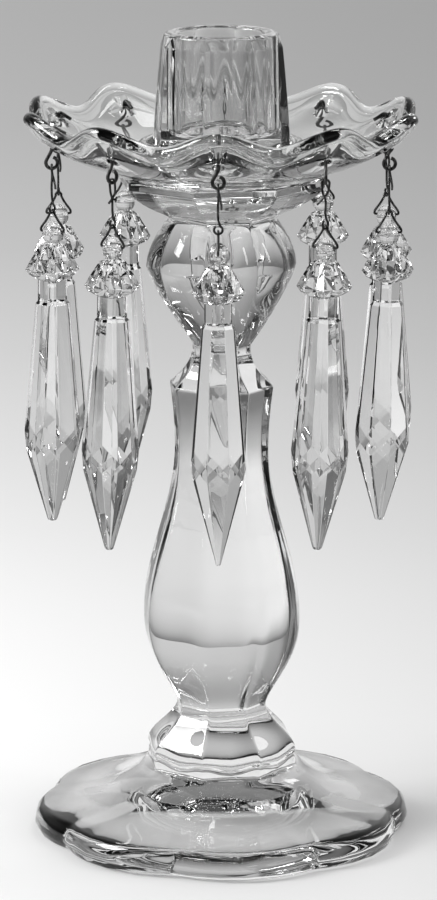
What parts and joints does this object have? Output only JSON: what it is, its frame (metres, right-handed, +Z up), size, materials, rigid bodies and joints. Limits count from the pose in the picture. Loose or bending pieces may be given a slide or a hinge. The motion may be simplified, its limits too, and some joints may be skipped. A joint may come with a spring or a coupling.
{
  "type": "prism candlestick",
  "caption": "Clear pressed-glass candlestick with a faceted stem, a lobed foot and a crimped glass bobeche that carries hanging cut-glass prisms on bent wire.",
  "frame": {"origin": "centre of the foot, on the surface that it stands on", "axes": "+Z up along the stem, -Y towards the front"},
  "size_m": [0.1094, 0.1134, 0.23],
  "materials": {
    "candlestick_glass": "clear pressed glass, fire polished",
    "bobeche_glass": "clear moulded glass with a rolled edge",
    "prism_glass": "clear cut glass, polished facets",
    "dark_wire": "bent wire, darkened with age"
  },
  "bodies": {
    "candlestick": {"candlestick": "candlestick_glass"},
    "bobeche": {"bobeche": "bobeche_glass"},
    "rim_hook_01": {"rim_hook_01": "dark_wire"},
    "rim_hook_02": {"rim_hook_02": "dark_wire"},
    "rim_hook_03": {"rim_hook_03": "dark_wire"},
    "rim_hook_04": {"rim_hook_04": "dark_wire"},
    "rim_hook_05": {"rim_hook_05": "dark_wire"},
    "rim_hook_06": {"rim_hook_06": "dark_wire"},
    "rim_hook_07": {"rim_hook_07": "dark_wire"},
    "rim_hook_08": {"rim_hook_08": "dark_wire"},
    "rim_hook_09": {"rim_hook_09": "dark_wire"},
    "rim_hook_10": {"rim_hook_10": "dark_wire"},
    "link_pin_01": {"link_pin_01": "dark_wire"},
    "link_pin_02": {"link_pin_02": "dark_wire"},
    "link_pin_03": {"link_pin_03": "dark_wire"},
    "link_pin_04": {"link_pin_04": "dark_wire"},
    "link_pin_05": {"link_pin_05": "dark_wire"},
    "link_pin_06": {"link_pin_06": "dark_wire"},
    "link_pin_07": {"link_pin_07": "dark_wire"},
    "link_pin_08": {"link_pin_08": "dark_wire"},
    "link_pin_09": {"link_pin_09": "dark_wire"},
    "link_pin_10": {"link_pin_10": "dark_wire"},
    "prism_bail_01": {"prism_bail_01": "dark_wire"},
    "prism_bail_02": {"prism_bail_02": "dark_wire"},
    "prism_bail_03": {"prism_bail_03": "dark_wire"},
    "prism_bail_04": {"prism_bail_04": "dark_wire"},
    "prism_bail_05": {"prism_bail_05": "dark_wire"},
    "prism_bail_06": {"prism_bail_06": "dark_wire"},
    "prism_bail_07": {"prism_bail_07": "dark_wire"},
    "prism_bail_08": {"prism_bail_08": "dark_wire"},
    "prism_bail_09": {"prism_bail_09": "dark_wire"},
    "prism_bail_10": {"prism_bail_10": "dark_wire"},
    "prism_01": {"prism_01": "prism_glass"},
    "prism_02": {"prism_02": "prism_glass"},
    "prism_03": {"prism_03": "prism_glass"},
    "prism_04": {"prism_04": "prism_glass"},
    "prism_05": {"prism_05": "prism_glass"},
    "prism_06": {"prism_06": "prism_glass"},
    "prism_07": {"prism_07": "prism_glass"},
    "prism_08": {"prism_08": "prism_glass"},
    "prism_09": {"prism_09": "prism_glass"},
    "prism_10": {"prism_10": "prism_glass"}
  },
  "joints": [
    {"name": "bobeche_lift", "type": "slide", "parent": "candlestick", "child": "bobeche", "axis": [0, 0, 1], "range_m": [0, 0.145]},
    {"name": "hook_turn_01", "type": "hinge", "parent": "bobeche", "child": "rim_hook_01", "pos_m": [-0.00086, -0.04899, 0.2001], "axis": [0, 0, 1], "range_deg": [-15, 15]},
    {"name": "link_swing_01", "type": "hinge", "parent": "rim_hook_01", "child": "link_pin_01", "pos_m": [-0.00086, -0.04899, 0.1937], "axis": [0.9998, -0.0175, 0], "range_deg": [-8, 8]},
    {"name": "bail_swing_01", "type": "hinge", "parent": "link_pin_01", "child": "prism_bail_01", "pos_m": [-0.00086, -0.04899, 0.18135], "axis": [0.9998, -0.0175, 0], "range_deg": [-8, 8]},
    {"name": "prism_swing_01", "type": "hinge", "parent": "prism_bail_01", "child": "prism_01", "pos_m": [-0.00086, -0.04899, 0.1761], "axis": [0.0175, 0.9998, 0], "range_deg": [-8, 8]},
    {"name": "hook_turn_02", "type": "hinge", "parent": "bobeche", "child": "rim_hook_02", "pos_m": [0.02811, -0.04014, 0.2001], "axis": [0, 0, 1], "range_deg": [-15, 15]},
    {"name": "link_swing_02", "type": "hinge", "parent": "rim_hook_02", "child": "link_pin_02", "pos_m": [0.02811, -0.04014, 0.1937], "axis": [0.0175, 0.9998, 0], "range_deg": [-8, 8]},
    {"name": "bail_swing_02", "type": "hinge", "parent": "link_pin_02", "child": "prism_bail_02", "pos_m": [0.02811, -0.04014, 0.18135], "axis": [0.6561, 0.7547, 0], "range_deg": [-8, 8]},
    {"name": "prism_swing_02", "type": "hinge", "parent": "prism_bail_02", "child": "prism_02", "pos_m": [0.02811, -0.04014, 0.1761], "axis": [0.9613, -0.2756, 0], "range_deg": [-8, 8]},
    {"name": "hook_turn_03", "type": "hinge", "parent": "bobeche", "child": "rim_hook_03", "pos_m": [0.04633, -0.01595, 0.2001], "axis": [0, 0, 1], "range_deg": [-15, 15]},
    {"name": "link_swing_03", "type": "hinge", "parent": "rim_hook_03", "child": "link_pin_03", "pos_m": [0.04633, -0.01595, 0.1937], "axis": [0.9998, -0.0175, 0], "range_deg": [-8, 8]},
    {"name": "bail_swing_03", "type": "hinge", "parent": "link_pin_03", "child": "prism_bail_03", "pos_m": [0.04633, -0.01595, 0.18135], "axis": [0.1908, 0.9816, 0], "range_deg": [-8, 8]},
    {"name": "prism_swing_03", "type": "hinge", "parent": "prism_bail_03", "child": "prism_03", "pos_m": [0.04633, -0.01595, 0.1761], "axis": [0.9998, -0.0175, 0], "range_deg": [-8, 8]},
    {"name": "hook_turn_04", "type": "hinge", "parent": "bobeche", "child": "rim_hook_04", "pos_m": [0.04686, 0.01433, 0.2001], "axis": [0, 0, 1], "range_deg": [-15, 15]},
    {"name": "link_swing_04", "type": "hinge", "parent": "rim_hook_04", "child": "link_pin_04", "pos_m": [0.04686, 0.01433, 0.1937], "axis": [0.9455, 0.3256, 0], "range_deg": [-8, 8]},
    {"name": "bail_swing_04", "type": "hinge", "parent": "link_pin_04", "child": "prism_bail_04", "pos_m": [0.04686, 0.01433, 0.18135], "axis": [0.4384, 0.8988, 0], "range_deg": [-8, 8]},
    {"name": "prism_swing_04", "type": "hinge", "parent": "prism_bail_04", "child": "prism_04", "pos_m": [0.04686, 0.01433, 0.1761], "axis": [0.9816, -0.1908, 0], "range_deg": [-8, 8]},
    {"name": "hook_turn_05", "type": "hinge", "parent": "bobeche", "child": "rim_hook_05", "pos_m": [0.02949, 0.03913, 0.2001], "axis": [0, 0, 1], "range_deg": [-15, 15]},
    {"name": "link_swing_05", "type": "hinge", "parent": "rim_hook_05", "child": "link_pin_05", "pos_m": [0.02949, 0.03913, 0.1937], "axis": [0.9998, -0.0175, 0], "range_deg": [-8, 8]},
    {"name": "bail_swing_05", "type": "hinge", "parent": "link_pin_05", "child": "prism_bail_05", "pos_m": [0.02949, 0.03913, 0.18135], "axis": [-0.3256, 0.9455, 0], "range_deg": [-8, 8]},
    {"name": "prism_swing_05", "type": "hinge", "parent": "prism_bail_05", "child": "prism_05", "pos_m": [0.02949, 0.03913, 0.1761], "axis": [0.9135, 0.4067, 0], "range_deg": [-8, 8]},
    {"name": "hook_turn_06", "type": "hinge", "parent": "bobeche", "child": "rim_hook_06", "pos_m": [0.00086, 0.04899, 0.2001], "axis": [0, 0, 1], "range_deg": [-15, 15]},
    {"name": "link_swing_06", "type": "hinge", "parent": "rim_hook_06", "child": "link_pin_06", "pos_m": [0.00086, 0.04899, 0.1937], "axis": [0.9613, -0.2756, 0], "range_deg": [-8, 8]},
    {"name": "bail_swing_06", "type": "hinge", "parent": "link_pin_06", "child": "prism_bail_06", "pos_m": [0.00086, 0.04899, 0.18135], "axis": [0.2756, 0.9613, 0], "range_deg": [-8, 8]},
    {"name": "prism_swing_06", "type": "hinge", "parent": "prism_bail_06", "child": "prism_06", "pos_m": [0.00086, 0.04899, 0.1761], "axis": [0.9336, -0.3584, 0], "range_deg": [-8, 8]},
    {"name": "hook_turn_07", "type": "hinge", "parent": "bobeche", "child": "rim_hook_07", "pos_m": [-0.02811, 0.04014, 0.2001], "axis": [0, 0, 1], "range_deg": [-15, 15]},
    {"name": "link_swing_07", "type": "hinge", "parent": "rim_hook_07", "child": "link_pin_07", "pos_m": [-0.02811, 0.04014, 0.1937], "axis": [0.9976, 0.0698, 0], "range_deg": [-8, 8]},
    {"name": "bail_swing_07", "type": "hinge", "parent": "link_pin_07", "child": "prism_bail_07", "pos_m": [-0.02811, 0.04014, 0.18135], "axis": [-0.0698, 0.9976, 0], "range_deg": [-8, 8]},
    {"name": "prism_swing_07", "type": "hinge", "parent": "prism_bail_07", "child": "prism_07", "pos_m": [-0.02811, 0.04014, 0.1761], "axis": [0.9703, 0.2419, 0], "range_deg": [-8, 8]},
    {"name": "hook_turn_08", "type": "hinge", "parent": "bobeche", "child": "rim_hook_08", "pos_m": [-0.04633, 0.01595, 0.2001], "axis": [0, 0, 1], "range_deg": [-15, 15]},
    {"name": "link_swing_08", "type": "hinge", "parent": "rim_hook_08", "child": "link_pin_08", "pos_m": [-0.04633, 0.01595, 0.1937], "axis": [0.9877, 0.1564, 0], "range_deg": [-8, 8]},
    {"name": "bail_swing_08", "type": "hinge", "parent": "link_pin_08", "child": "prism_bail_08", "pos_m": [-0.04633, 0.01595, 0.18135], "axis": [-0.1564, 0.9877, 0], "range_deg": [-8, 8]},
    {"name": "prism_swing_08", "type": "hinge", "parent": "prism_bail_08", "child": "prism_08", "pos_m": [-0.04633, 0.01595, 0.1761], "axis": [0.9998, -0.0175, 0], "range_deg": [-8, 8]},
    {"name": "hook_turn_09", "type": "hinge", "parent": "bobeche", "child": "rim_hook_09", "pos_m": [-0.04686, -0.01433, 0.2001], "axis": [0, 0, 1], "range_deg": [-15, 15]},
    {"name": "link_swing_09", "type": "hinge", "parent": "rim_hook_09", "child": "link_pin_09", "pos_m": [-0.04686, -0.01433, 0.1937], "axis": [0.9998, -0.0175, 0], "range_deg": [-8, 8]},
    {"name": "bail_swing_09", "type": "hinge", "parent": "link_pin_09", "child": "prism_bail_09", "pos_m": [-0.04686, -0.01433, 0.18135], "axis": [0.5878, 0.809, 0], "range_deg": [-8, 8]},
    {"name": "prism_swing_09", "type": "hinge", "parent": "prism_bail_09", "child": "prism_09", "pos_m": [-0.04686, -0.01433, 0.1761], "axis": [0.9336, -0.3584, 0], "range_deg": [-8, 8]},
    {"name": "hook_turn_10", "type": "hinge", "parent": "bobeche", "child": "rim_hook_10", "pos_m": [-0.02949, -0.03913, 0.2001], "axis": [0, 0, 1], "range_deg": [-15, 15]},
    {"name": "link_swing_10", "type": "hinge", "parent": "rim_hook_10", "child": "link_pin_10", "pos_m": [-0.02949, -0.03913, 0.1937], "axis": [0.7193, 0.6947, 0], "range_deg": [-8, 8]},
    {"name": "bail_swing_10", "type": "hinge", "parent": "link_pin_10", "child": "prism_bail_10", "pos_m": [-0.02949, -0.03913, 0.18135], "axis": [0.5878, 0.809, 0], "range_deg": [-8, 8]},
    {"name": "prism_swing_10", "type": "hinge", "parent": "prism_bail_10", "child": "prism_10", "pos_m": [-0.02949, -0.03913, 0.1761], "axis": [0.8988, -0.4384, 0], "range_deg": [-8, 8]}
  ]
}
